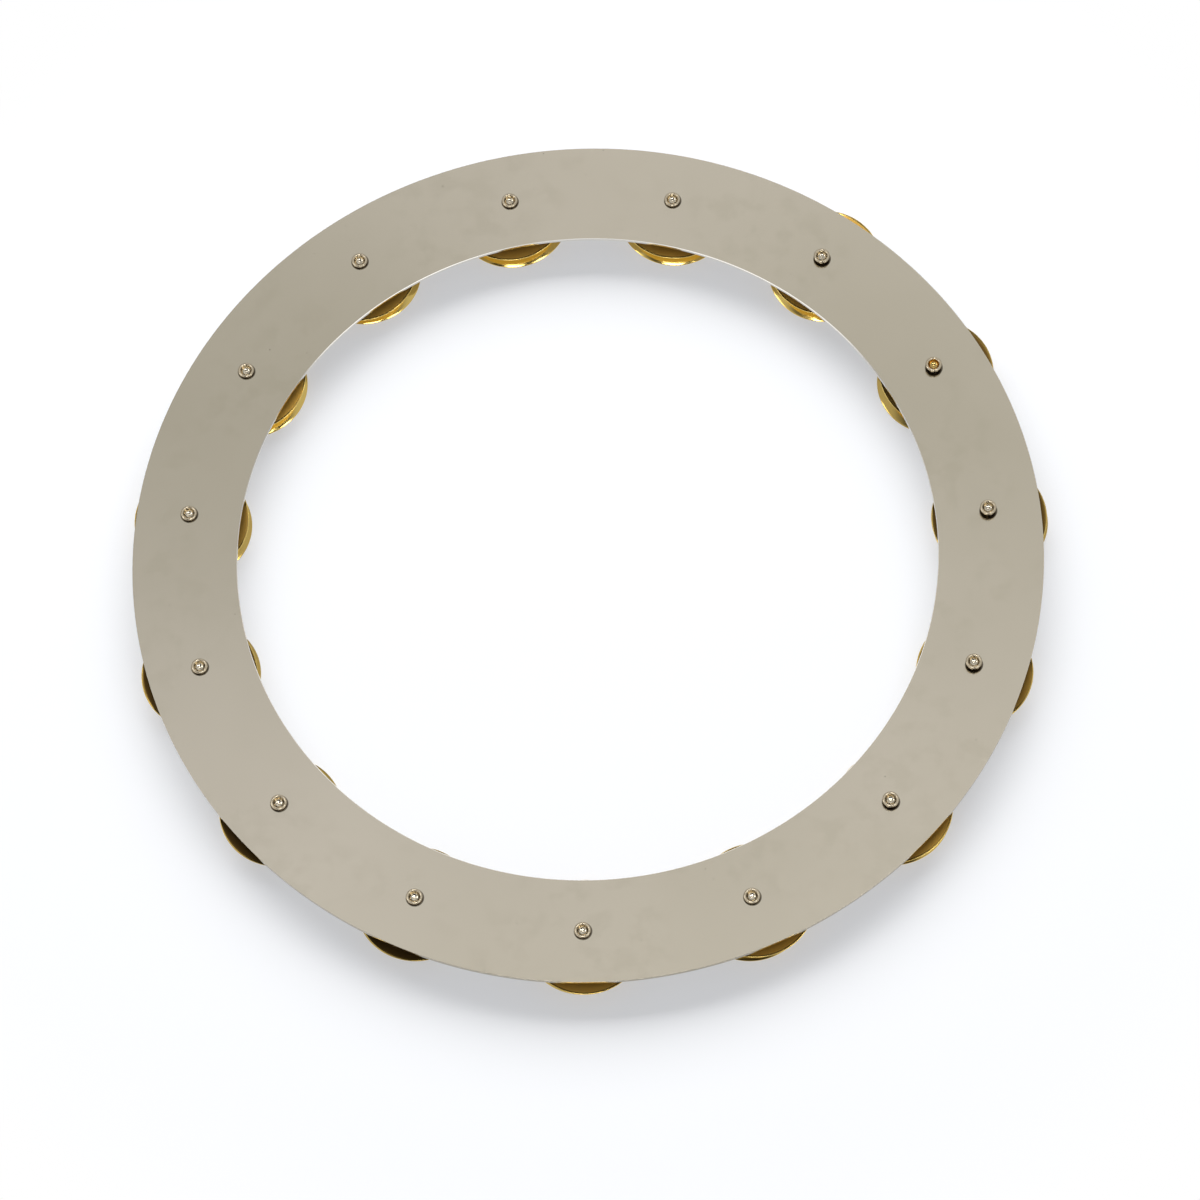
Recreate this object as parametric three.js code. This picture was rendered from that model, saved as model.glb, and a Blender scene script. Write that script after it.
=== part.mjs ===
// Jingle ring: a flat steel ring that lies on a drum head, with pairs of loose brass jingles
// held under it by tubular rivets. Millimetres, +Z up. The origin is on the ring's axis, on the
// surface that the lower jingles stand on, and the first rivet lies towards -Y.
import * as THREE from 'three';

// Ring plate
const STATIONS = 15; // rivets, each with a pair of jingles
const PLATE_OD = 330.2; // 13 in
const PLATE_WIDTH = 38.1; // 1 1/2 in, outer edge to opening
const PLATE_THICKNESS = 1.5;

// Rivets
const SHANK_D = 4;
const TUBE_WALL = 0.5; // wall of the hollow end
const BORE_DEPTH = 1.9; // from the top of the collar
const COLLAR_HEIGHT = 1.1;
const COLLAR_OVERHANG = 0.65; // how far the rolled collar reaches over the edge of its hole
const HEAD_THICKNESS = 0.5;
const HEAD_OVERHANG = 1; // how far the flat lower head reaches past the jingle's hole

// Jingles
const JINGLE_D = 42;
const JINGLE_HEIGHT = 3.8; // rim to crown
const SHEET = 0.4;
const CROWN_LAND = 1.8; // flat ring round the hole
const CUP_WALL_RUN = 4.5; // how far the cup's sloping wall spreads, crown to brim
const BRIM_RISE = 2.5; // height of the brim where it meets the cup
const RIM_LAND = 0.6; // flat edge that the rim stands on

// Clearances
const SHANK_IN_PLATE = 0.3; // all round
const SHANK_IN_JINGLE = 1.4; // all round
const SEAT_GAP = 0.2; // between pieces that rest on each other
const HEAD_OFF_FLOOR = 0.15; // under the head of a seated rivet

// How the loose pieces lie: some rivets stand proud of the plate on one side of the ring, and every
// jingle has slid until it rests against its rivet. The upper ones have slid forward and to the right,
// and have rocked on their crowns until the back edge meets the plate. The lower ones have slid to the
// right, those at the back of the ring also forward, but those at the front back and a little left.
const PROUD_MOST = 1.7;
const PROUD_TOWARDS = THREE.MathUtils.degToRad(8);
const PROUD_HALF_ANGLE = THREE.MathUtils.degToRad(70);
const UPPER_ROCK = THREE.MathUtils.degToRad(3.5);
const UPPER_RIGHT = 0.85; // an upper jingle's slide to the right for one forward
const UPPER_SPREAD = 0.8; // added to that on the right of the ring, taken off on the left
const LOWER_RIGHT = 0.6; // a lower jingle's slide to the right for one forward at the back of the ring
const LOWER_ASKEW = 0.9; // added to that at the back, taken off at the front
const SLIDE_SWING = THREE.MathUtils.degToRad(45); // how far single jingles stray from those directions
const UPPER_STEP = 1.35; // radians of the upper jingles' swing from one station to the next
const LOWER_STEP = 2.25; // the same for the lower ones

// Facets
const PLATE_OUTER_SIDES = 5 * STATIONS;
const PLATE_INNER_SIDES = 4 * STATIONS;
const HOLE_SIDES = 8;
const RIVET_SIDES = 10;
const JINGLE_SIDES = 18;

// Fitted sizes
const openingRadius = PLATE_OD / 2 - PLATE_WIDTH;
const pitchRadius = PLATE_OD / 2 - PLATE_WIDTH / 2; // rivets run along the middle of the width
const shankRadius = SHANK_D / 2;
const boreRadius = shankRadius - TUBE_WALL;
const plateHoleRadius = shankRadius + SHANK_IN_PLATE;
const jingleHoleRadius = shankRadius + SHANK_IN_JINGLE;
const collarRadius = plateHoleRadius + COLLAR_OVERHANG;
const headRadius = jingleHoleRadius + HEAD_OVERHANG;
const crownRadius = jingleHoleRadius + CROWN_LAND;
const rimRadius = JINGLE_D / 2;
const slide = SHANK_IN_JINGLE - SEAT_GAP; // a jingle that rests against its rivet

// Heights, from the surface up
const upperCrown = JINGLE_HEIGHT + SEAT_GAP + crownRadius * Math.sin(UPPER_ROCK);
const upperRimTop = upperCrown + JINGLE_HEIGHT * Math.cos(UPPER_ROCK) + rimRadius * Math.sin(UPPER_ROCK);
const plateBottom = upperRimTop + SEAT_GAP;
const plateTop = plateBottom + PLATE_THICKNESS;
const collarSeat = plateTop + SEAT_GAP;

const UP = new THREE.Vector3(0, 0, 1);

const steel = new THREE.MeshStandardMaterial({ color: 0xb5ae9f, roughness: 0.22, metalness: 1 });
const nickel = new THREE.MeshStandardMaterial({ color: 0xd8cbb4, roughness: 0.15, metalness: 1 });
const brass = new THREE.MeshStandardMaterial({ color: 0xd9ab45, roughness: 0.12, metalness: 1 });

// A circle as corner points, around a centre.
function circlePoints(radius, sides, centreX = 0, centreY = 0) {
  return Array.from({ length: sides }, (_, i) => {
    const turn = (2 * Math.PI * i) / sides;
    return new THREE.Vector2(centreX + radius * Math.cos(turn), centreY + radius * Math.sin(turn));
  });
}

// A profile of [radius, height] points, anticlockwise, revolved about the vertical axis.
function revolve(profile, sides) {
  const points = profile.map(([radius, height]) => new THREE.Vector2(radius, height));
  return new THREE.LatheGeometry(points, sides).rotateX(Math.PI / 2);
}

// Where each rivet stands on the pitch circle, and how proud of the plate it stands.
function station(index) {
  const angle = -Math.PI / 2 + (2 * Math.PI * index) / STATIONS;
  const edge = Math.cos(PROUD_HALF_ANGLE);
  const lobe = Math.max(0, (Math.cos(angle - PROUD_TOWARDS) - edge) / (1 - edge));
  return {
    number: String(index + 1).padStart(2, '0'),
    angle,
    x: pitchRadius * Math.cos(angle),
    y: pitchRadius * Math.sin(angle),
    proud: PROUD_MOST * Math.sqrt(lobe),
  };
}

// Sideways place of a loose jingle that rests against its rivet: how far it has slid to the right and
// back, as shares of one direction, and where it is in the swing about that direction.
function slideVector(right, back, swing) {
  const towards = new THREE.Vector3(right, back, 0).setLength(slide);
  return towards.applyAxisAngle(UP, SLIDE_SWING * Math.sin(swing));
}

// The plate: one sheet cut to an outline with the centre opening and the rivet holes.
function plateGeometry(stations) {
  const outline = new THREE.Shape(circlePoints(PLATE_OD / 2, PLATE_OUTER_SIDES));
  const opening = circlePoints(openingRadius, PLATE_INNER_SIDES);
  const holeCorner = plateHoleRadius / Math.cos(Math.PI / HOLE_SIDES); // so that the flats clear
  const holes = stations.map(({ x, y }) => circlePoints(holeCorner, HOLE_SIDES, x, y));
  outline.holes = [opening, ...holes].map((points) => new THREE.Path(points));
  return new THREE.ExtrudeGeometry(outline, { depth: PLATE_THICKNESS, bevelEnabled: false });
}

// A rivet, seated: flat head below, shank, and the tube's end rolled over into a collar.
function rivetGeometry() {
  const collarTop = collarSeat + COLLAR_HEIGHT;
  const headTop = HEAD_OFF_FLOOR + HEAD_THICKNESS;
  const roll = (collarRadius - boreRadius) / 4; // flat crest is half of the collar's width
  const rollStart = collarSeat + COLLAR_HEIGHT / 2;
  const boreBottom = collarTop - BORE_DEPTH;
  return revolve([
    [0, HEAD_OFF_FLOOR],
    [headRadius - HEAD_THICKNESS / 2, HEAD_OFF_FLOOR],
    [headRadius, headTop],
    [shankRadius, headTop],
    [shankRadius, collarSeat],
    [collarRadius, collarSeat],
    [collarRadius, rollStart],
    [collarRadius - roll, collarTop],
    [boreRadius + roll, collarTop],
    [boreRadius, rollStart],
    [boreRadius, boreBottom],
    [0, boreBottom],
  ], RIVET_SIDES);
}

// A jingle standing on its rim: flat rim, sloping brim, cup, and a crown with the rivet's hole.
function jingleGeometry() {
  const footRadius = crownRadius + CUP_WALL_RUN;
  const hollow = JINGLE_HEIGHT - SHEET;
  return revolve([
    [jingleHoleRadius, hollow],
    [crownRadius, hollow],
    [footRadius, BRIM_RISE],
    [rimRadius - RIM_LAND, 0],
    [rimRadius, 0],
    [rimRadius, SHEET],
    [rimRadius - RIM_LAND, SHEET],
    [footRadius, BRIM_RISE + SHEET],
    [crownRadius, JINGLE_HEIGHT],
    [jingleHoleRadius, JINGLE_HEIGHT],
    [jingleHoleRadius, hollow],
  ], JINGLE_SIDES);
}

function named(name, geometry, material) {
  const mesh = new THREE.Mesh(geometry, material);
  mesh.name = name;
  return mesh;
}

const stations = Array.from({ length: STATIONS }, (_, index) => station(index));
const ring = new THREE.Group();

const plate = named('ring_plate', plateGeometry(stations), steel);
plate.position.z = plateBottom;
ring.add(plate);

const rivetShape = rivetGeometry();
const jingleShape = jingleGeometry();
stations.forEach(({ number, angle, x, y, proud }, index) => {
  const rivet = named(`rivet_${number}`, rivetShape, nickel);
  rivet.position.z = proud;

  const lower = named(`lower_jingle_${number}`, jingleShape, brass);
  const lowerRight = LOWER_RIGHT + LOWER_ASKEW * Math.sin(angle);
  lower.position.copy(slideVector(lowerRight, -Math.sin(angle), LOWER_STEP * index));

  const upper = named(`upper_jingle_${number}`, jingleShape, brass);
  upper.rotation.x = Math.PI; // turned over, hollow side up
  upper.position.z = JINGLE_HEIGHT;
  const rocked = new THREE.Group(); // its origin is at the middle of the upper jingle's crown
  const upperRight = UPPER_RIGHT + UPPER_SPREAD * Math.cos(angle);
  rocked.position.copy(slideVector(upperRight, -1, UPPER_STEP * index)).setZ(upperCrown);
  rocked.rotation.x = UPPER_ROCK; // front edge down
  rocked.add(upper);

  const stack = new THREE.Group();
  stack.position.set(x, y, 0);
  stack.add(rivet, lower, rocked);
  ring.add(stack);
});

export default ring;
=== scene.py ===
# %% [markdown]
# # A jingle ring
# A flat ring of polished steel lies on a drum head. Fifteen tubular rivets hang in it, and on each
# rivet two loose brass jingles sit crown to crown and rattle when the drum is struck.
#
# The solid model of the ring is the frame: it says where every piece sits and how it moves. This
# lesson makes a finer surface for each piece, gives the metals their finish, and lights them.

import bmesh
import bpy
import numpy as np
from mathutils import Matrix, Vector


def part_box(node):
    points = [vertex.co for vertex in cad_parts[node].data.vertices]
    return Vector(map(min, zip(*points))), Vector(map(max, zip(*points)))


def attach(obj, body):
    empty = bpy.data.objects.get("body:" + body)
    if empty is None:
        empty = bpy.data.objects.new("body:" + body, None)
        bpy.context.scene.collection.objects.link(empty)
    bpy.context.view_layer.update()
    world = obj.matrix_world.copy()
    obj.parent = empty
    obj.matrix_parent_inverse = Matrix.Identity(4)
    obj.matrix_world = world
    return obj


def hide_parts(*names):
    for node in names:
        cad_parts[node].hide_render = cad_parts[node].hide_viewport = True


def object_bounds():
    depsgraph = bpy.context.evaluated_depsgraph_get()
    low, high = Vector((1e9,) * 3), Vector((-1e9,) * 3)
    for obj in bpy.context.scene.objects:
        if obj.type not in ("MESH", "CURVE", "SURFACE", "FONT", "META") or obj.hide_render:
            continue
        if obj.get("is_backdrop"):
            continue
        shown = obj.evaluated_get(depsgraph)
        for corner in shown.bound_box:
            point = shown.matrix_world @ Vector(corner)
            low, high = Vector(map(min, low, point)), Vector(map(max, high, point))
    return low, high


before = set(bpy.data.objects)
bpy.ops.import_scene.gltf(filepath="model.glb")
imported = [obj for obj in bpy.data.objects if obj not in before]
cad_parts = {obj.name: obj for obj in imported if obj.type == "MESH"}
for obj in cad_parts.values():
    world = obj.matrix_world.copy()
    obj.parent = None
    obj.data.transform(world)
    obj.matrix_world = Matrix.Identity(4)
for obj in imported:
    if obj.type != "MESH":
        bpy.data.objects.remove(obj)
solid_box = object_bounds()
MM = 0.001
numbers = sorted(name[-2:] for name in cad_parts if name.startswith("rivet_"))
print("stations:", len(numbers), "nodes:", len(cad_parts))

# %% [markdown]
# ## Reading the frame
# A finer piece has to sit exactly where its solid sits, so its place is measured on the solid's own
# corners. All pieces but the plate are turned on a lathe. A jingle may lie a little tilted, so its
# axis is found as the direction in which its corners spread least, which suits any flat round thing.

# %% Corners and axes of the solids
RIM_SHARE = 0.99


def mesh_points(mesh):
    """Points of a mesh, one row of x, y, z each, in metres."""
    flat = np.empty(3 * len(mesh.vertices), np.float32)
    mesh.vertices.foreach_get("co", flat)
    return flat.reshape(-1, 3).astype(float)


def corners(node):
    """Corner points of a solid."""
    return mesh_points(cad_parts[node].data)


def disc_frame(node):
    """Middle of a round dish's rim plane, and a matrix whose columns are two directions across it
    and its axis, which points from the rim to the crown. Corners beyond a share of the widest reach
    are taken as the rim."""
    points = corners(node)
    middle = points.mean(0)
    axis = np.linalg.svd(points - middle, full_matrices=False)[2][2]
    along = (points - middle) @ axis
    reach = np.linalg.norm(points - middle - np.outer(along, axis), axis=1)
    at_rim = along[reach > RIM_SHARE * reach.max()].mean()
    axis, along = -np.sign(at_rim) * axis, -np.sign(at_rim) * along
    across = np.cross(axis, (0.0, 1.0, 0.0))
    across /= np.linalg.norm(across)
    return middle + along.min() * axis, np.stack([across, np.cross(axis, across), axis], 1)


plate_reach = np.hypot(*corners("ring_plate")[:, :2].T)
plate_low, plate_top = (corner.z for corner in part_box("ring_plate"))
print(f"plate radii {plate_reach.min() / MM:.1f} to {plate_reach.max() / MM:.1f} mm,",
      f"from {plate_low / MM:.2f} to {plate_top / MM:.2f} mm high")

# %% [markdown]
# ## Camera
# The picture was taken from high above with a long lens, a little turned. The lens and the angles
# below were found by laying the plate's two edges over the picture. The ring itself was also turned
# a few degrees on the floor, so the camera goes round by that angle instead.

# %% Camera
PICTURE_SIDE = 1200
FOCAL_PIXELS = 5116
SENSOR = 36.0
VIEW_HEIGHT = np.radians(66.45)
VIEW_ROLL = np.radians(4.73)
RING_TURN = np.radians(4.88)
VIEW_DISTANCE = 1853 * MM
VIEW_RIGHT = 4.7 * MM
VIEW_DOWN = 17.9 * MM


def camera_matrix():
    """Columns right, up, back and place: the level camera's right and up turn by the roll about back,
    then everything turns by the ring's own turn about the vertical."""
    back = Vector((0, -np.cos(VIEW_HEIGHT), np.sin(VIEW_HEIGHT)))
    level_right = Vector((1, 0, 0))
    level_up = back.cross(level_right)
    right = level_right * np.cos(VIEW_ROLL) - level_up * np.sin(VIEW_ROLL)
    up = level_right * np.sin(VIEW_ROLL) + level_up * np.cos(VIEW_ROLL)
    place = right * VIEW_RIGHT - up * VIEW_DOWN + back * VIEW_DISTANCE
    axes = Matrix((right, up, back)).transposed().to_4x4()
    axes.translation = place
    return Matrix.Translation((0, 0, plate_top)) @ Matrix.Rotation(RING_TURN, 4, "Z") @ axes


camera = bpy.data.objects.new("camera", bpy.data.cameras.new("camera"))
bpy.context.scene.collection.objects.link(camera)
camera.data.sensor_width = SENSOR
camera.data.lens = SENSOR * FOCAL_PIXELS / PICTURE_SIDE
camera.matrix_world = camera_matrix()
bpy.context.scene.camera = camera
camera_place = tuple(round(v, 3) for v in camera.matrix_world.translation)
print(f"lens {camera.data.lens:.1f} mm, camera at", camera_place)

# %% [markdown]
# ## From arrays to meshes
# A surface is worked out as a grid of points: rows follow a profile and columns go round. A Screw
# modifier could turn a profile as well, but with arrays the place of every point is known, and the
# finishes can use it. Short functions list the quads of such a grid and its UV map, carry a profile
# round an axis, and give the rows of an arc.

# %% Grids and turned shapes
def grid_quads(rows, columns):
    """Quads of a grid whose columns close on themselves: each joins two neighbours to the next row."""
    row, column = np.meshgrid(np.arange(rows - 1), np.arange(columns), indexing="ij")
    after = (column + 1) % columns
    corner = [(row, column), (row, after), (row + 1, after), (row + 1, column)]
    return np.stack([(r * columns + c).ravel() for r, c in corner], 1)


def grid_uv(profile, columns):
    """UV of each quad's corners: u goes once round, and v is the share of the profile's length."""
    length = np.append(0, np.cumsum(np.hypot(*np.diff(profile, axis=0).T)))
    share = length / length[-1]
    row, column = np.meshgrid(np.arange(len(share) - 1), np.arange(columns), indexing="ij")
    u = np.stack([column, column + 1, column + 1, column], -1) / columns
    v = np.stack([share[row], share[row], share[row + 1], share[row + 1]], -1)
    return np.stack([u, v], -1)


def turned(profile, turn):
    """A profile of (radius, height) rows carried round the axis: x = r cos t, y = r sin t, z = h."""
    radius, height = profile[:, :1], profile[:, 1:]
    points = np.broadcast_arrays(radius * np.cos(turn), radius * np.sin(turn), height)
    return np.stack(points, -1).reshape(-1, 3), grid_quads(len(profile), len(turn))


def full_turn(columns):
    """Angles of evenly spaced columns, once round."""
    return np.linspace(0, 2 * np.pi, columns, endpoint=False)


def arc(centre, half_width, half_height, start, end, steps):
    """Rows on an ellipse: centre + (half_width cos a, half_height sin a), a from start to end, in
    degrees."""
    angle = np.radians(np.linspace(start, end, steps))
    return np.stack([centre[0] + half_width * np.cos(angle), centre[1] + half_height * np.sin(angle)], 1)


print("3 rows of 8 columns make", len(grid_quads(3, 8)), "quads")

# %% [markdown]
# ## From meshes to pieces
# Points that fall together, at a pole or a seam, are merged, so that every piece is one closed skin.
# A bevel modifier on the solids would be quicker, but it would keep their few flat sides. Each piece
# then takes the place of its solid: it moves with the same body and is listed under the same finish.

# %% Pieces
WELD = 1e-6
SHARP_ANGLE = np.radians(40)


def make_piece(name, points, quads, uv=None):
    """Mesh object of one closed smooth skin, with creases only at sharp corners."""
    mesh = bpy.data.meshes.new(name)
    mesh.from_pydata(points.tolist(), [], quads.tolist())
    if uv is not None:
        mesh.uv_layers.new(name="surface").data.foreach_set("uv", uv.ravel())
    skin = bmesh.new()
    skin.from_mesh(mesh)
    bmesh.ops.remove_doubles(skin, verts=skin.verts, dist=WELD)
    open_edges = sum(not edge.is_manifold for edge in skin.edges)
    volume = skin.calc_volume(signed=True)
    skin.to_mesh(mesh)
    skin.free()
    mesh.polygons.foreach_set("use_smooth", np.ones(len(mesh.polygons), bool))
    mesh.set_sharp_from_angle(angle=SHARP_ANGLE)
    piece = bpy.data.objects.new(name, mesh)
    bpy.context.scene.collection.objects.link(piece)
    print(f"{name}: {len(mesh.polygons)} faces, {open_edges} open edges, {volume / MM**3:.1f} mm3")
    return piece


def store(piece, name, value):
    """One number for all points of a piece, or one for each, that its finish can read by name."""
    layer = piece.data.attributes.new(name, "FLOAT", "POINT")
    layer.data.foreach_set("value", np.full(len(piece.data.vertices), value, np.float32))


def stands_for(piece, node, body, finish):
    """The piece takes the solid's place: it rides on the solid's body and has its finish."""
    piece.data.materials.append(finish)
    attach(piece, body)
    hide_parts(node)


print(f"points within {WELD / MM:g} mm merge,",
      f"corners over {np.degrees(SHARP_ANGLE):.0f} degrees stay sharp")

# %% [markdown]
# ## Shader sums
# The finishes mix soft clouds, smears and fine lines. Written as nodes by hand that soon fills a
# page, so a small class wraps a socket and turns Python's operators into Math nodes.

# %% Values
class Value:
    """A socket that can be used in sums: each operator adds one Math node to its tree."""

    def __init__(self, tree, socket):
        self.tree = tree
        self.socket = socket

    def math(self, operation, first, second):
        """One Math node on two values, or on a value and a number."""
        return self.tree.node("ShaderNodeMath", {"operation": operation}, {0: first, 1: second})

    def __add__(self, other):
        return self.math("ADD", self, other)

    def __sub__(self, other):
        return self.math("SUBTRACT", self, other)

    def __rsub__(self, other):
        return self.math("SUBTRACT", other, self)

    def __mul__(self, other):
        return self.math("MULTIPLY", self, other)

    __radd__ = __add__
    __rmul__ = __mul__


# %% [markdown]
# ## Node trees
# Every other node comes from one method, which takes its kind, its settings and what goes into its
# sockets. A few short methods on top of it give the nodes that the finishes use most.

# %% Trees and colours
class Tree:
    """The node tree of a material, or of the world, emptied."""

    def __init__(self, owner):
        owner.use_nodes = True
        self.nodes = owner.node_tree.nodes
        self.links = owner.node_tree.links
        self.nodes.clear()

    def node(self, kind, settings=None, inputs=None, output=0):
        """Adds a node: its settings first, then a number or a link for each named socket."""
        made = self.nodes.new(kind)
        for name, setting in (settings or {}).items():
            setattr(made, name, setting)
        for name, given in (inputs or {}).items():
            if isinstance(given, Value):
                self.links.new(given.socket, made.inputs[name])
            else:
                made.inputs[name].default_value = given
        return Value(self, made.outputs[output]) if made.outputs else made

    def step(self, value, low, high):
        """0 where the value is under low, 1 over high, and a smooth slope between."""
        return self.node("ShaderNodeMapRange", {"interpolation_type": "SMOOTHSTEP"},
                         {"Value": value, "From Min": low, "From Max": high})

    def stored(self, name):
        """The number that was stored on the mesh under a name."""
        return self.node("ShaderNodeAttribute", {"attribute_name": name}, output="Fac")

    def ray(self, kind):
        """1 for what a ray of one kind meets, such as a camera ray, and 0 for other rays."""
        return self.node("ShaderNodeLightPath", output=f"Is {kind} Ray")

    def blend(self, share, first, second):
        """A colour between two colours."""
        return self.node("ShaderNodeMix", {"data_type": "RGBA"},
                         {0: share, 6: first, 7: second}, output=2)


def colour(red, green, blue):
    """A linear colour with full alpha."""
    return red, green, blue, 1.0


def new_tree(name):
    """A fresh material, and its tree."""
    finish = bpy.data.materials.new(name)
    return finish, Tree(finish)


# %% [markdown]
# ## Random marks
# Smudges, scuffs and tarnish are random, but they have a size and a direction. Pictures of real metal
# would give them too, though only as sharp as the picture is. Noise is worked out at every point
# instead. A patch begins where the noise passes a threshold, and stretched coordinates give lines.

# %% Noise and patches
def noise(tree, vector, scale, detail=2.0, distortion=0.0):
    """Soft random clouds from 0 to 1; scale is in clouds to the metre."""
    return tree.node("ShaderNodeTexNoise", None, {"Vector": vector, "Scale": scale, "Detail": detail,
                                                  "Distortion": distortion})


def patches(tree, vector, scale, edge, detail=2.0, distortion=0.0):
    """Random patches: 0 where the noise is under the edge's first number, 1 over its second."""
    return tree.step(noise(tree, vector, scale, detail, distortion), *edge)


def stretched(tree, vector, scale, turn=0.0):
    """Coordinates turned about the vertical and scaled, so that a pattern runs along one direction."""
    return tree.node("ShaderNodeMapping", None, {
        "Vector": vector, "Rotation": (0, 0, turn), "Scale": scale})


# %% [markdown]
# ## Polished steel
# Real sheet is never one even grey: it is handled and wiped, so it has broad faint clouds, smaller
# smudges that are a little darker and duller, and a few specks and hairline scratches. The sheet is
# flat, and a painted sheen stands in for reflections: its colour grows lighter and darker a few times
# round the ring. None of the marks is deep enough to be geometry. They vary the colour and the roughness
# by a few hundredths only, or the sheet would look like stone. Round each rivet a thin dark ring of
# painted shade lies where the collar meets the plate, a little towards the near right, and the mesh
# stores each point's distance from its middle. The bevel in the opening gets a brighter colour, a
# painted highlight. Its distance from the axis tells it from the face.

# %% Steel finish
# The steel's colour runs between these two: painted sheen, lighter and darker round the ring, together
# with random clouds and smudges.
STEEL_SHEEN_AND_TONE_LIGHT = colour(0.653, 0.598, 0.502)
STEEL_SHEEN_AND_TONE_DARK = colour(0.473, 0.433, 0.335)
STEEL_SPECK = colour(0.20, 0.17, 0.13)
# Painted highlight: the bevel in the opening gets this brighter colour.
STEEL_EDGE_HIGHLIGHT = colour(0.96, 0.93, 0.87)
# Painted shade: a near-black ring on the plate round each rivet's collar.
PAINTED_RIVET_SHADE = colour(0.045, 0.035, 0.02)
# Painted sheen: waves of lighter and darker colour round the ring, standing in for reflections of a wavy
# sheet.
PAINTED_SHEEN_WAVES = {1: (0.12, np.radians(-105)), 2: (0.134, np.radians(142)), 3: (0.172, np.radians(-76))}
CLOUD_SCALE, CLOUD_EDGE = 14, (0.3, 0.7)
SMUDGE_SCALE, SMUDGE_EDGE = 110, (0.44, 0.70)
WIPED_SCALE, WIPED_EDGE = 24, (0.40, 0.60)
SCRATCHED_SCALE, SCRATCHED_EDGE = 40, (0.5, 0.62)
HAIR_STRETCH, HAIR_TURN, HAIR_EDGE = (2600, 60, 1), 0.5, (0.74, 0.80)
SPECK_SCALE, SPECK_EDGE = 800, (0.77, 0.82)
SHEEN_AND_TONE_SHARE, CLOUD_LIGHT, SMUDGE_SHADE = 0.43, 0.14, 0.14
STEEL_ROUGH, CLOUD_ROUGH, SMUDGE_ROUGH, HAIR_ROUGH = 0.17, 0.02, 0.03, 0.05
# Painted shade round the rivets: where it begins and ends, how far its middle lies towards the near right,
# and how dark it gets.
RIVET_SHADE_FROM, RIVET_SHADE_TO = 3.05 * MM, 3.45 * MM
RIVET_SHADE_SHIFT = np.array([0.15, -0.2]) * MM
RIVET_SHADE_COVER = 0.85
OPENING_BEVEL = 0.22 * MM
BEVEL_BLEND = 0.02 * MM


def painted_sheen(tree, x, y):
    """Painted reflection round the ring: the sum of share cos(count a - lag), a being the angle about the
    axis.
    """
    angle = tree.node("ShaderNodeMath", {"operation": "ARCTAN2"}, {0: y, 1: x})
    return sum(share * tree.node("ShaderNodeMath", {"operation": "COSINE"}, {0: count * angle - lag})
               for count, (share, lag) in PAINTED_SHEEN_WAVES.items())


def polished_steel():
    """Warm grey steel with waves of painted reflection round the ring, clouds, smudges, hairlines and
    specks, painted shade round each rivet, and a painted highlight on the bevel in the opening."""
    finish, tree = new_tree("polished_steel")
    place = tree.node("ShaderNodeTexCoord", output="Object")
    x, y = (tree.node("ShaderNodeSeparateXYZ", None, {0: place}, output=axis) for axis in "XY")
    cloud = patches(tree, place, CLOUD_SCALE, CLOUD_EDGE, 3)
    wiped = patches(tree, place, WIPED_SCALE, WIPED_EDGE)
    smudge = patches(tree, place, SMUDGE_SCALE, SMUDGE_EDGE, 5) * wiped
    scratched = patches(tree, place, SCRATCHED_SCALE, SCRATCHED_EDGE)
    hairs = patches(tree, stretched(tree, place, HAIR_STRETCH, HAIR_TURN), 1, HAIR_EDGE, 1) * scratched
    specks = patches(tree, place, SPECK_SCALE, SPECK_EDGE, 1) * scratched
    # Painted sheen: the waves round the ring make the colour lighter or darker, together with the random
    # clouds and the smudges.
    light = SHEEN_AND_TONE_SHARE + painted_sheen(tree, x, y) + CLOUD_LIGHT * cloud - SMUDGE_SHADE * smudge
    base = tree.blend(specks, tree.blend(light, STEEL_SHEEN_AND_TONE_DARK, STEEL_SHEEN_AND_TONE_LIGHT), STEEL_SPECK)
    # Painted shade: the plate goes near black in a thin ring round each rivet's collar.
    rivet_shade = RIVET_SHADE_COVER * (1 - tree.step(tree.stored("from_rivet"), RIVET_SHADE_FROM, RIVET_SHADE_TO))
    # Painted highlight: inside face_from, the bevel in the opening takes the bright edge colour.
    face_from = plate_reach.min() + OPENING_BEVEL
    face = tree.step(x * x + y * y, face_from**2, (face_from + BEVEL_BLEND) ** 2)
    base = tree.blend(face, STEEL_EDGE_HIGHLIGHT, tree.blend(rivet_shade, base, PAINTED_RIVET_SHADE))
    rough = STEEL_ROUGH + CLOUD_ROUGH * cloud + SMUDGE_ROUGH * smudge + HAIR_ROUGH * hairs
    shader = tree.node("ShaderNodeBsdfPrincipled", None, {
        "Base Color": base, "Metallic": 1.0, "Roughness": rough})
    tree.node("ShaderNodeOutputMaterial", None, {"Surface": shader})
    return finish


steel = polished_steel()
print("made", steel.name)

# %% [markdown]
# ## A patch of the ring plate
# The plate is one sheet with fifteen holes. A boolean would cut them, but it leaves long thin faces
# that spoil a polished surface. Instead each station gets its own patch of the ring. Lines run from
# the hole's edge out to the patch's border, so the grid is neat round every hole, and neighbouring
# patches meet along shared borders.

# %% One patch
ARC_STEPS = 24
ACROSS_STEPS = 16
FACE_ROWS = 9
FACE_CROWDING = 1.6
BORDER_ROW = 0.985
HOLE_RADIUS = 2.3 * MM
HOLE_BREAK = 0.1 * MM
stations = np.array([corners(f"rivet_{n}")[:, :2].mean(0) for n in numbers])
station_angles = np.arctan2(stations[:, 1], stations[:, 0])
patch_half_turn = np.pi / len(numbers)
arc_shares = np.linspace(-1, 1, ARC_STEPS, endpoint=False)


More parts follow.
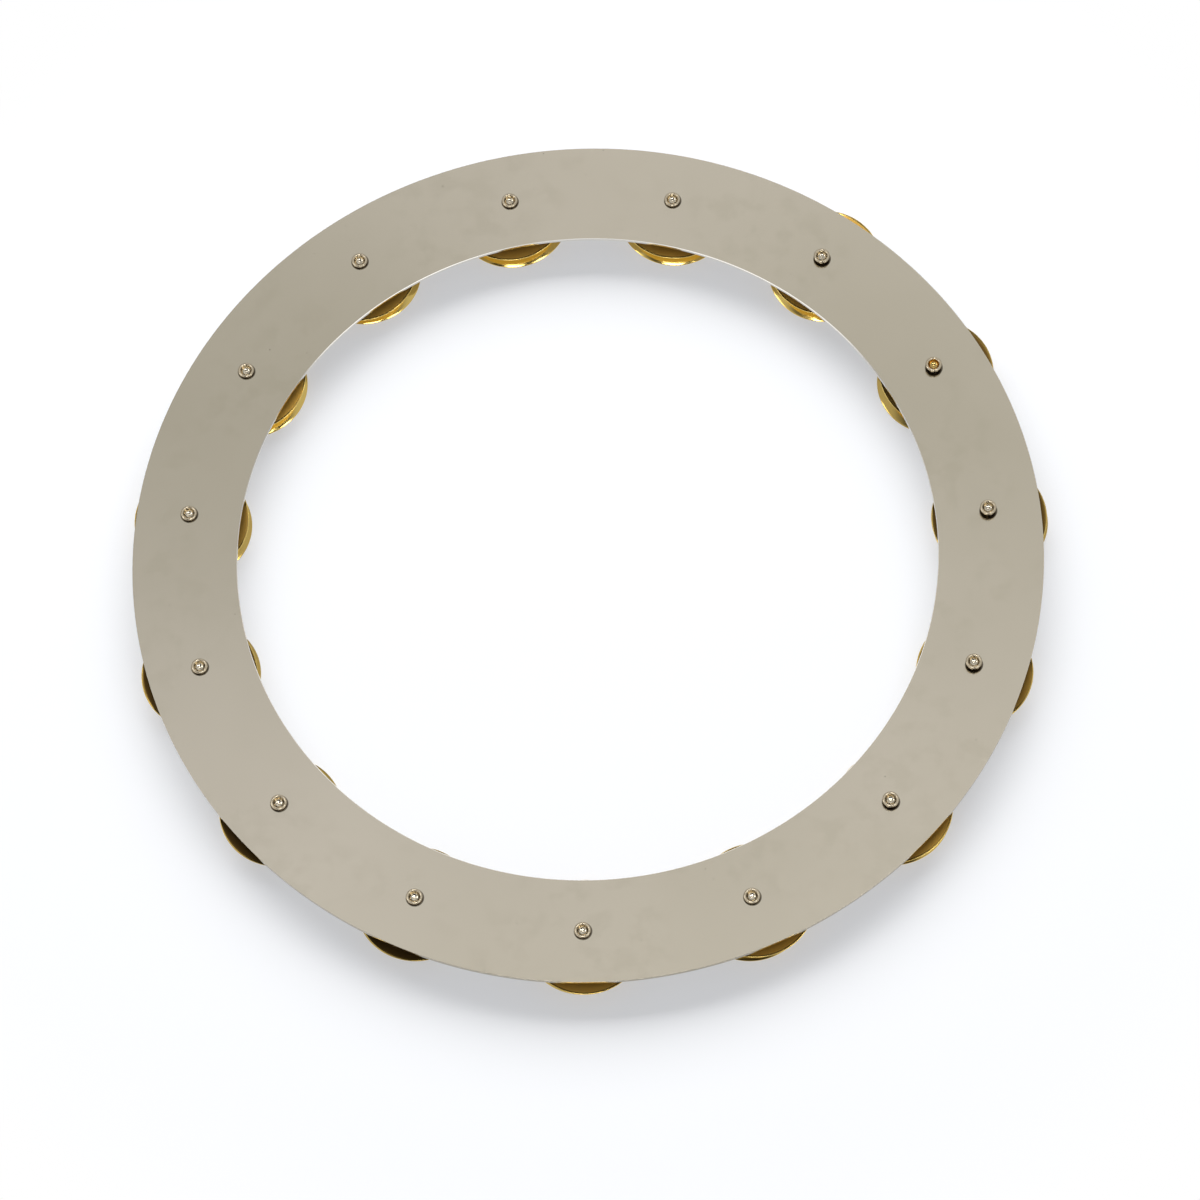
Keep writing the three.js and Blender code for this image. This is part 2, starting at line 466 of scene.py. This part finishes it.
def patch(outer, inner):
    """One patch, about the X axis. Border points have a share of the arc and of the width, from -1 to
    1: x, y = (pitch + width share) (cos, sin)(arc share). Hole points lie in the same direction from the
    hole's middle. Rows go from the border in to the hole under the sheet, up, and out again on top:
    point = (1 - w) hole + w border. They crowd towards the hole, and one lies just inside the border."""
    across = np.linspace(-1, 1, ACROSS_STEPS, endpoint=False)
    along = np.concatenate([arc_shares, np.ones(ACROSS_STEPS), -arc_shares, -np.ones(ACROSS_STEPS)])
    width = np.concatenate([-np.ones(ARC_STEPS), across, np.ones(ARC_STEPS), -across])
    pitch, half_width = (outer + inner) / 2, (outer - inner) / 2
    radius, angle = pitch + width * half_width, along * patch_half_turn
    border = np.stack([radius * np.cos(angle), radius * np.sin(angle)], 1)
    towards = np.stack([width * half_width, along * pitch * patch_half_turn], 1)
    towards /= np.linalg.norm(towards, axis=1, keepdims=True)
    out = np.sort(np.append(np.linspace(0, 1, FACE_ROWS) ** FACE_CROWDING, BORDER_ROW))
    share = np.concatenate([out[::-1], [0, 0], out])[:, None, None]
    wide, tight = np.full(len(out), HOLE_RADIUS + HOLE_BREAK), np.full(2, HOLE_RADIUS)
    hole_radius = np.concatenate([wide, tight, wide])[:, None, None]
    low, top = np.full(len(out), plate_low), np.full(len(out), plate_top)
    height = np.concatenate([low, [plate_low + HOLE_BREAK, plate_top - HOLE_BREAK], top])
    hole = np.array([pitch, 0]) + hole_radius * towards
    flat = (1 - share) * hole + share * border
    return np.dstack([flat, np.broadcast_to(height[:, None], flat.shape[:2])])


print(f"each patch spans {np.degrees(2 * patch_half_turn):.0f} degrees")

# %% [markdown]
# ## The whole ring plate
# The patch is turned to each station. Two narrow strips then close the sheet: a small round on the
# outer edge and a bevel in the opening, where a bright line in the picture shows that the burr was
# taken off. Strips of their own are surer than a bevel modifier, which would round the holes as well.

# %% Ring plate
RIM_ROUND = 0.05 * MM
ROUND_STEPS, BEVEL_STEPS = 6, 2


def sheet_edge(middle, reach, steps):
    """Edge of the sheet, from its lower face to its upper one: two quarter circles, out by reach. With
    two steps each they are straight bevels."""
    size = abs(reach)
    return np.vstack([arc((middle, plate_low + size), reach, size, -90, 0, steps),
                      arc((middle, plate_top - size), reach, size, 0, 90, steps)])


def plate_grids():
    """The patch turned to each station, and the strips of the two edges, as points and quads."""
    outer, inner = plate_reach.max(), plate_reach.min()
    one = patch(outer - RIM_ROUND, inner + OPENING_BEVEL)
    cos, sin = np.cos(station_angles), np.sin(station_angles)
    turns = np.array([[cos, -sin, 0 * cos], [sin, cos, 0 * cos], [0 * cos, 0 * cos, 0 * cos + 1]])
    quads = grid_quads(*one.shape[:2])
    grids = [(points.reshape(-1, 3), quads) for points in np.einsum("abk,rcb->krca", turns, one)]
    turn = np.sort((station_angles[:, None] + arc_shares * patch_half_turn).ravel())
    rim = sheet_edge(outer - RIM_ROUND, RIM_ROUND, ROUND_STEPS)
    opening = sheet_edge(inner + OPENING_BEVEL, -OPENING_BEVEL, BEVEL_STEPS)[::-1]
    return [*grids, turned(rim, turn), turned(opening, turn)]


def joined(grids):
    """Several grids as one list of points and one of quads."""
    starts = np.cumsum([0] + [len(points) for points, _ in grids])
    return np.vstack([p for p, _ in grids]), np.vstack([q + s for (_, q), s in zip(grids, starts)])


plate = make_piece("polished_plate", *joined(plate_grids()))
# Distance from each rivet's middle, moved a little towards the near right, for the painted shade round the
# rivets.
apart = mesh_points(plate.data)[:, None, :2] - stations - RIVET_SHADE_SHIFT
store(plate, "from_rivet", np.linalg.norm(apart, axis=2).min(1))
stands_for(plate, "ring_plate", "ring", steel)

# %% [markdown]
# ## Nickel
# The rivets are plated. The plating is a little warmer than the sheet and has the fine scuffs of the
# tool that rolled them. The bowl is sheltered, so it is smoother than the outside, and its brighter
# colour is a painted highlight. In one of them the plating has come off, and yellow metal shows. A
# second material could do that, but its border would be hard. So the UV map says where the bowl begins
# on the profile, and a number stored on the mesh says which rivet is worn.

# %% Nickel finish
NICKEL = colour(0.63, 0.54, 0.395)
# Painted highlight: the bowl's colour is brighter than the collar's.
NICKEL_BOWL_PAINTED_HIGHLIGHT = colour(0.68, 0.61, 0.48)
BARE_METAL = colour(0.64, 0.45, 0.16)
BOWL_SHARE = 0.88
BOWL_BLEND = 0.01
SCUFF_SCALE, SCUFF_EDGE = 1500, (0.45, 0.75)
SCUFF_STRENGTH, SCUFF_DEPTH = 0.3, 0.01 * MM
NICKEL_ROUGH, SCUFF_ROUGH, BOWL_POLISH = 0.2, 0.06, 0.08


def bright_nickel():
    """Warm bright plating with fine scuffs, smoother in the bowl and painted brighter there as a
    highlight, with bare metal in a worn one.
    """
    finish, tree = new_tree("bright_nickel")
    place = tree.node("ShaderNodeTexCoord", output="Object")
    uv = tree.node("ShaderNodeUVMap", {"uv_map": "surface"})
    along = tree.node("ShaderNodeSeparateXYZ", None, {0: uv}, output="Y")
    bowl = tree.step(along, BOWL_SHARE - BOWL_BLEND, BOWL_SHARE)
    scuffs = noise(tree, place, SCUFF_SCALE, 3)
    # Painted highlight: the bowl takes the brighter colour, or bare metal in the worn rivet.
    base = tree.blend(bowl, NICKEL, tree.blend(tree.stored("worn"), NICKEL_BOWL_PAINTED_HIGHLIGHT, BARE_METAL))
    rough = NICKEL_ROUGH + SCUFF_ROUGH * tree.step(scuffs, *SCUFF_EDGE) - BOWL_POLISH * bowl
    bump = tree.node("ShaderNodeBump", None, {
        "Strength": SCUFF_STRENGTH, "Distance": SCUFF_DEPTH, "Height": scuffs})
    shader = tree.node("ShaderNodeBsdfPrincipled", None, {
        "Base Color": base, "Metallic": 1.0, "Roughness": rough, "Normal": bump})
    tree.node("ShaderNodeOutputMaterial", None, {"Surface": shader})
    return finish


nickel = bright_nickel()
print("made", nickel.name)

# %% [markdown]
# ## Rivets
# A tubular rivet has a flat head at one end and a bore in the other. Setting it rolls the tube's
# end outwards into a half-round collar, and a bright bowl stays open in the middle. Everything is
# round, so one profile turned about the rivet's axis gives the whole piece.

# %% Rivets
RIVET_COLUMNS = 64
HEAD_THICKNESS = 0.5 * MM
SHANK_RADIUS = 2.0 * MM
COLLAR_RADIUS = 2.95 * MM
COLLAR_HEIGHT = 1.1 * MM
COLLAR_ROLL = 0.45 * MM
COLLAR_CORNER = 0.35 * MM
MOUTH_RADIUS = 1.95 * MM
BOWL_RADIUS = 1.6 * MM
BOWL_DEPTH = 1.9 * MM
BOWL_ROUND = 0.7 * MM
PIT_DEPTH = 0.3 * MM
PIT_EDGE = -77
WORN_STATION = "06"


def rivet_profile(head_radius, low, top):
    """Radius and height from the head's middle, round its edge, up the shank, over the collar's half
    round and down into the bowl, to the pit that the drill's point left. The pit begins at its edge's
    angle on the bowl's ellipse, in degrees."""
    seat = top - COLLAR_HEIGHT
    half_head = HEAD_THICKNESS / 2
    ridge, half_ridge = (COLLAR_RADIUS + MOUTH_RADIUS) / 2, (COLLAR_RADIUS - MOUTH_RADIUS) / 2
    corner = COLLAR_CORNER
    return np.vstack([
        [(0, low)],
        arc((head_radius - half_head, low + half_head), half_head, half_head, -90, 90, steps=9),
        arc((SHANK_RADIUS + half_head, low + 3 * half_head), half_head, half_head, 270, 180, steps=5),
        [(SHANK_RADIUS, seat)],
        arc((COLLAR_RADIUS - corner, seat + corner), corner, corner, -90, 0, steps=5),
        arc((ridge, top - COLLAR_ROLL), half_ridge, COLLAR_ROLL, 0, 180, steps=22),
        arc((0, top - BOWL_DEPTH + BOWL_ROUND), BOWL_RADIUS, BOWL_ROUND, 0, PIT_EDGE, steps=12),
        [(0, top - BOWL_DEPTH - PIT_DEPTH)],
    ])


def make_rivet(number):
    """The profile turned at the solid's place, with the worn number set on one rivet."""
    node = f"rivet_{number}"
    low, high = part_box(node)
    profile = rivet_profile((high.y - low.y) / 2, low.z, high.z)
    points, quads = turned(profile, full_turn(RIVET_COLUMNS))
    middle = corners(node)[:, :2].mean(0)
    uv = grid_uv(profile, RIVET_COLUMNS)
    piece = make_piece(f"nickel_rivet_{number}", points + np.append(middle, 0), quads, uv)
    store(piece, "worn", number == WORN_STATION)
    stands_for(piece, node, node, nickel)


for number in numbers:
    make_rivet(number)

# %% [markdown]
# ## Brass
# The jingles are spun from sheet on a lathe and polished, which leaves very fine rings that follow
# the rim. Handling dulls the brass in soft brown patches. The hollow side, which no polishing wheel
# reaches, stays duller all over. Its colour darkens towards the crown as painted shade, and a fine dark
# band of painted shade runs along the rim. At some stations the brass is darkened almost to black, and a
# number stored on each mesh says how much. The rings and the hollow side are found on the piece's own
# UV map, because they have to stay round on every jingle, and the patches from the place in space.

# %% Brass finish
BRASS_BRIGHT = colour(0.91, 0.665, 0.20)
BRASS_TARNISH = colour(0.68, 0.46, 0.12)
BRASS_HOLLOW = colour(0.98, 0.57, 0.11)
# Painted shade: the hollow's colour goes dark towards the crown, deep in the dish.
BRASS_PAINTED_DEEP_SHADE = colour(0.45, 0.22, 0.035)
# Near black: for the listed stations that are darkened, and for the painted shade along the rim.
BRASS_DARK_AND_PAINTED_SHADE = colour(0.12, 0.07, 0.02)
SPIN_RINGS = 260
RING_DEPTH = 0.0015 * MM
HOLLOW_SHARE = 0.48
HOLLOW_BLEND = 0.02
DEEP_SHARE = 0.22
# Painted shade: a thin near-black band on the hollow side, just inside the rim.
SHADE_LINE_FROM, SHADE_LINE_TO = HOLLOW_SHARE - 0.012, HOLLOW_SHARE - 0.008
TARNISH_SCALE, TARNISH_TWIST, TARNISH_EDGE = 70, 0.6, (0.5, 0.8)
PATCH_TARNISH, PIECE_TARNISH = 0.45, 0.25
OUTSIDE_DARKENED = 0.3
HOLLOW_MATTE = 0.7
BRASS_ROUGH, RING_ROUGH, TARNISH_ROUGH, HOLLOW_ROUGH = 0.08, 0.06, 0.08, 0.24


def spun_brass():
    """Polished brass with fine rings round the axis and soft tarnish, duller in the hollow, with painted
    shade deep in the hollow and along its rim, and darkened where the mesh says so."""
    finish, tree = new_tree("spun_brass")
    place = tree.node("ShaderNodeTexCoord", output="Object")
    uv = tree.node("ShaderNodeUVMap", {"uv_map": "surface"})
    along = tree.node("ShaderNodeSeparateXYZ", None, {0: uv}, output="Y")
    hollow = 1 - tree.step(along, HOLLOW_SHARE - HOLLOW_BLEND, HOLLOW_SHARE)
    rings = noise(tree, stretched(tree, uv, (0, SPIN_RINGS, 0)), 1)
    tarnish = patches(tree, place, TARNISH_SCALE, TARNISH_EDGE, 4, TARNISH_TWIST)
    # Painted shade: the hollow darkens from near the rim in towards the crown.
    hollow_and_painted_shade = tree.blend(tree.step(along, DEEP_SHARE, HOLLOW_SHARE), BRASS_PAINTED_DEEP_SHADE, BRASS_HOLLOW)
    base = tree.blend(hollow, BRASS_BRIGHT, hollow_and_painted_shade)
    base = tree.blend(PATCH_TARNISH * tarnish + PIECE_TARNISH * tree.stored("tone"), base, BRASS_TARNISH)
    # Painted shade: a thin near-black band on the hollow side along the rim.
    painted_shade_line = tree.step(along, SHADE_LINE_FROM, SHADE_LINE_TO) * hollow
    # Listed stations are darkened almost to black, most on the hollow side. The painted shade band along
    # the rim takes the same colour.
    darkened = (OUTSIDE_DARKENED + (1 - OUTSIDE_DARKENED) * hollow) * tree.stored("darkened")
    base = tree.blend(darkened + painted_shade_line, base, BRASS_DARK_AND_PAINTED_SHADE)
    rough = BRASS_ROUGH + RING_ROUGH * rings + TARNISH_ROUGH * tarnish + HOLLOW_ROUGH * hollow
    bump = tree.node("ShaderNodeBump", None, {"Strength": 1.0, "Distance": RING_DEPTH, "Height": rings})
    shader = tree.node("ShaderNodeBsdfPrincipled", None, {
        "Base Color": base, "Metallic": 1 - HOLLOW_MATTE * hollow, "Roughness": rough,
        "Specular IOR Level": 0.0, "Normal": bump})
    tree.node("ShaderNodeOutputMaterial", None, {"Surface": shader})
    return finish


brass = spun_brass()
print("made", brass.name)

# %% [markdown]
# ## Jingles
# A jingle is a shallow dish: a flat crown with the rivet's hole, a small round cup, and a wide brim
# that falls away and gets steeper towards the rim. One curve through the middle of the sheet says
# all of that. Moving it out and in by half the sheet's thickness gives the two faces. Thin spun sheet
# never runs quite true, so each brim also gets a few shallow waves of its own, which break up the
# glints as they do on real jingles.

# %% Jingles
JINGLE_COLUMNS = 96
SHEET = 0.4 * MM
JINGLE_HOLE = 3.4 * MM
CROWN_RADIUS = 5.0 * MM
FOOT_RADIUS = 9.9 * MM
BRIM_RISE = 2.5 * MM
BRIM_POWER = 1.6
CURVE_STEPS = 44
WAVE_COUNTS = np.array([2, 3, 5, 8])
WAVE_HEIGHTS = np.array([0.05, 0.045, 0.035, 0.02]) * MM
WAVE_SEED = 15
# Stations whose jingles are darkened almost to black, and how much.
DARKENED_STATIONS = {"04": 0.6, "05": 0.9, "06": 0.9, "12": 0.6, "13": 1.0, "14": 1.0, "15": 1.0}
draw = np.random.default_rng(WAVE_SEED)


def jingle_profile(rim_radius, crown_height):
    """Middle of the sheet: height = half sheet + cup (1 - s(x)) + brim (1 - y ** power), where x goes
    from crown to foot with the smooth step s, and y from foot to rim. The faces lie half a sheet to
    either side along the curve's normal, and half circles close the rim and the hole."""
    half = SHEET / 2
    radius = np.linspace(JINGLE_HOLE + half, rim_radius - half, CURVE_STEPS)
    x = np.clip((radius - CROWN_RADIUS) / (FOOT_RADIUS - CROWN_RADIUS), 0, 1)
    y = np.clip((radius - FOOT_RADIUS) / (rim_radius - half - FOOT_RADIUS), 0, 1)
    cup = crown_height - SHEET - BRIM_RISE
    height = half + cup * (1 - x * x * (3 - 2 * x)) + BRIM_RISE * (1 - y**BRIM_POWER)
    slope = np.arctan(np.gradient(height, radius))
    middle = np.stack([radius, height], 1)
    normal = np.stack([-np.sin(slope), np.cos(slope)], 1)
    lean = np.degrees(slope[-1])
    rim = arc(middle[-1], half, half, lean - 90, lean + 90, steps=9)
    hole = arc(middle[0], half, half, 90, 270, steps=7)
    return np.vstack([middle - half * normal, rim[1:-1], (middle + half * normal)[::-1], hole[1:]])


def waves(points, rim_radius):
    """Height to add to each point: a sum of waves round the axis, height cos(count t + phase), which
    grows from the crown to the rim with the square of the radius. Its lowest point stays where it is."""
    radius, turn = np.hypot(points[:, 0], points[:, 1]), np.arctan2(points[:, 1], points[:, 0])
    phases = draw.uniform(0, 2 * np.pi, len(WAVE_COUNTS))
    wave = np.cos(np.outer(turn, WAVE_COUNTS) + phases) @ WAVE_HEIGHTS
    return (radius / rim_radius) ** 2 * (wave - wave.min())


def make_jingle(node):
    """The profile turned about the solid's own axis, with its waves: point = origin + matrix (x, y, z)."""
    origin, axes = disc_frame(node)
    local = (corners(node) - origin) @ axes
    rim_radius = np.hypot(*local[:, :2].T).max()
    profile = jingle_profile(rim_radius, local[:, 2].max())
    points, quads = turned(profile, full_turn(JINGLE_COLUMNS))
    points[:, 2] += waves(points, rim_radius)
    uv = grid_uv(profile, JINGLE_COLUMNS)
    piece = make_piece(f"brass_{node}", points @ axes.T + origin, quads, uv)
    store(piece, "tone", draw.random())
    store(piece, "darkened", DARKENED_STATIONS.get(node[-2:], 0.0))
    stands_for(piece, node, node, brass)


for number in numbers:
    make_jingle(f"upper_jingle_{number}")
    make_jingle(f"lower_jingle_{number}")

# %% [markdown]
# ## Floor
# The ring lies on plain white. A diffuse floor alone would come out grey away from the lamps, so what
# the camera and the metals see of it is partly a white glow, and further out it is all glow. Close to
# the ring the glow is faintly cool, as the shadow in the picture is, and the diffuse share stays,
# because it carries the shadow.

# %% Floor
FLOOR_REACH = 8.0
SHADOW_REACH = 0.30
SHADOW_CORE = 0.72
GLOW_NEAR = 0.45
FLOOR_WHITE = colour(0.86, 0.865, 0.875)
SHADOW_TINT = colour(0.97, 0.99, 1.03)
PLAIN_WHITE = colour(1.0, 1.0, 1.0)


def white_floor():
    """White diffuse floor that glows for the camera and in reflections, fully so away from the ring."""
    finish, tree = new_tree("white_floor")
    place = tree.node("ShaderNodeTexCoord", output="Object")
    away = tree.node("ShaderNodeVectorMath", {"operation": "LENGTH"}, {0: place}, output=1)
    far = tree.step(away, SHADOW_CORE * SHADOW_REACH, SHADOW_REACH)
    glow = GLOW_NEAR + (1 - GLOW_NEAR) * far
    seen = tree.ray("Camera") + tree.ray("Glossy") + tree.ray("Transmission")
    matte = tree.node("ShaderNodeBsdfDiffuse", None, {"Color": FLOOR_WHITE})
    white = tree.node("ShaderNodeEmission", None, {
        "Color": tree.blend(far, SHADOW_TINT, PLAIN_WHITE), "Strength": 1.0})
    shader = tree.node("ShaderNodeMixShader", None, {0: glow * seen, 1: matte, 2: white})
    tree.node("ShaderNodeOutputMaterial", None, {"Surface": shader})
    return finish


floor_mesh = bpy.data.meshes.new("floor")
side = FLOOR_REACH * np.array([(-1, -1, 0), (1, -1, 0), (1, 1, 0), (-1, 1, 0)])
floor_mesh.from_pydata(side.tolist(), [], [(0, 1, 2, 3)])
floor = bpy.data.objects.new("floor", floor_mesh)
bpy.context.scene.collection.objects.link(floor)
floor_mesh.materials.append(white_floor())
floor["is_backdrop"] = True
print(f"floor at 0 mm, solids from {solid_box[0].z / MM:.2f} mm up")

# %% [markdown]
# ## Lamps
# Two jobs are kept apart here. One wide softbox beyond the ring lights the floor and throws the soft
# shadow towards the viewer. Polished metal shows its surroundings instead, so the other lamps are
# panels that only reflections see, and they give the brass its white glints. Light finds its way into
# the hollow jingles only after many bounces, so more of them are allowed.

# %% Lamps
LAMPS = {
    "far_softbox": {"turn": 95, "height": 33, "distance": 6.0, "size": (10.0, 3.9), "radiance": 7.2},
    "top_panel": {"turn": -97, "height": 77, "distance": 1.2, "size": (0.28, 0.30), "radiance": 8.0},
    "side_panel": {"turn": -20, "height": 68, "distance": 1.2, "size": (0.2, 0.3), "radiance": 6.0},
    "left_panel": {"turn": 175, "height": 50, "distance": 1.2, "size": (0.4, 0.4), "radiance": 2.5},
}
FLOOR_LAMP = "far_softbox"
GLOSSY_BOUNCES = 12


def softbox(name, turn, height, distance, size, radiance):
    """Area lamp that faces the ring from a turn about the vertical and a height above the floor, in
    degrees; its power is radiance times pi times its area."""
    lamp = bpy.data.lights.new(name, "AREA")
    lamp.shape = "RECTANGLE"
    lamp.size, lamp.size_y = size
    lamp.energy = radiance * np.pi * size[0] * size[1]
    turn, height = np.radians(turn), np.radians(height)
    towards = Vector((np.cos(height) * np.cos(turn), np.cos(height) * np.sin(turn), np.sin(height)))
    box = bpy.data.objects.new(name, lamp)
    box.rotation_mode = "QUATERNION"
    box.rotation_quaternion = towards.to_track_quat("Z", "Y")
    box.location = towards * distance
    box.visible_camera = False
    box.visible_diffuse = name == FLOOR_LAMP
    box.visible_glossy = name != FLOOR_LAMP
    bpy.context.scene.collection.objects.link(box)


for name, lamp in LAMPS.items():
    softbox(name, **lamp)
bpy.context.scene.cycles.glossy_bounces = GLOSSY_BOUNCES
print("lamps:", ", ".join(LAMPS))

# %% [markdown]
# ## Room
# Between the lamps, polished metal mirrors the room. Walls could be built as planes, but tones on the
# world, by direction, need less and throw no shadow. The room is pale high up beyond the ring, where
# the plate mirrors it, and dull or dark elsewhere, which gives the brass its olive tones and the
# rivets their dark flanks. Pale bands lie before the ring, for its edges, and low at the sides and at
# the far end, so that the plate doesn't turn black when it is seen from near the floor. Matte things
# get a plain fill from above instead, and the camera sees white behind the floor.

# %% Room
ROOM_DARK = 0.024
ROOM_DULL, DULL_BEYOND = 0.104, (-0.25, 0.1)
ROOM_SIDES, SIDES_ASIDE, SIDES_TOP = 0.44, (0.06, 0.2), (0.9, 0.97)
ROOM_PALE, PALE_BEYOND, PALE_UP, PALE_ASIDE = 0.692, (0.08, 0.28), (0.45, 0.75), (0.04, 0.16)
PALE_MIDDLE, PALE_TO_RIGHT = 1.25, 0.8
PALE_DIP, DIP_BEYOND = 0.33, (0.32, 0.39)
PALE_RISE, RISE_BEYOND = 0.22, (0.42, 0.48)
WALLS_UP = (0.08, 0.5)
ROOM_FRONT, FRONT_BEFORE, FRONT_UP, FRONT_TOP = 0.8, (0.2, 0.4), (0.1, 0.2), (0.5, 0.6)
ROOM_LOW, LOW_ASIDE, LOW_TOP = 0.6, (0.3, 0.6), (0.1, 0.3)
ROOM_END, END_BEYOND, END_TOP = 0.45, (0.75, 0.95), (0.3, 0.6)
ROOM_FILL, FILL_UP = 0.272, (0.0, 0.3)


def room():
    """The room's light by direction. Each tone is limited by smooth steps on how far the direction goes
    beyond the ring, up, and aside, which is the square of how far it goes to the right or left. The pale
    tone also grows to the right, and dips and rises once on the way beyond. A matte surface gets the
    fill, and the camera sees white."""
    world = bpy.data.worlds.new("room")
    tree = Tree(world)
    direction = tree.node("ShaderNodeTexCoord", output="Generated")
    right, beyond, up = (tree.node("ShaderNodeSeparateXYZ", None, {0: direction}, output=axis)
                         for axis in "XYZ")
    aside = right * right
    dull = ROOM_DULL * tree.step(beyond, *DULL_BEYOND)
    sides = ROOM_SIDES * tree.step(aside, *SIDES_ASIDE) * (1 - tree.step(up, *SIDES_TOP))
    pale = tree.step(beyond, *PALE_BEYOND) * tree.step(up, *PALE_UP) * (1 - tree.step(aside, *PALE_ASIDE))
    lean = PALE_MIDDLE + PALE_TO_RIGHT * right
    lean = lean - PALE_DIP * tree.step(beyond, *DIP_BEYOND) + PALE_RISE * tree.step(beyond, *RISE_BEYOND)
    walls = tree.step(up, *WALLS_UP) * (dull + sides + ROOM_PALE * pale * lean)
    front = tree.step(0 - beyond, *FRONT_BEFORE) * tree.step(up, *FRONT_UP)
    front = front * (1 - tree.step(up, *FRONT_TOP))
    low = tree.step(aside, *LOW_ASIDE) * (1 - tree.step(up, *LOW_TOP))
    end = tree.step(beyond, *END_BEYOND) * (1 - tree.step(up, *END_TOP))
    tone = ROOM_DARK + walls + ROOM_FRONT * front + ROOM_LOW * low + ROOM_END * end
    fill = ROOM_FILL * tree.step(up, *FILL_UP)
    matte, seen = tree.ray("Diffuse"), tree.ray("Camera")
    strength = tone * (1 - matte - seen) + fill * matte + seen
    light = tree.node("ShaderNodeBackground", None, {"Color": PLAIN_WHITE, "Strength": strength})
    tree.node("ShaderNodeOutputWorld", None, {"Surface": light})
    return world


bpy.context.scene.world = room()
bpy.context.scene.view_settings.view_transform = "Standard"
print("made", bpy.context.scene.world.name)

# %% [markdown]
# ## Finish
# The finer pieces have to keep the solids' size. Both boxes are written down.

# %% Sizes and finish
dressed_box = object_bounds()
for name, box in {"solid": solid_box, "dressed": dressed_box}.items():
    print(name, [[round(v, 4) for v in corner] for corner in box])
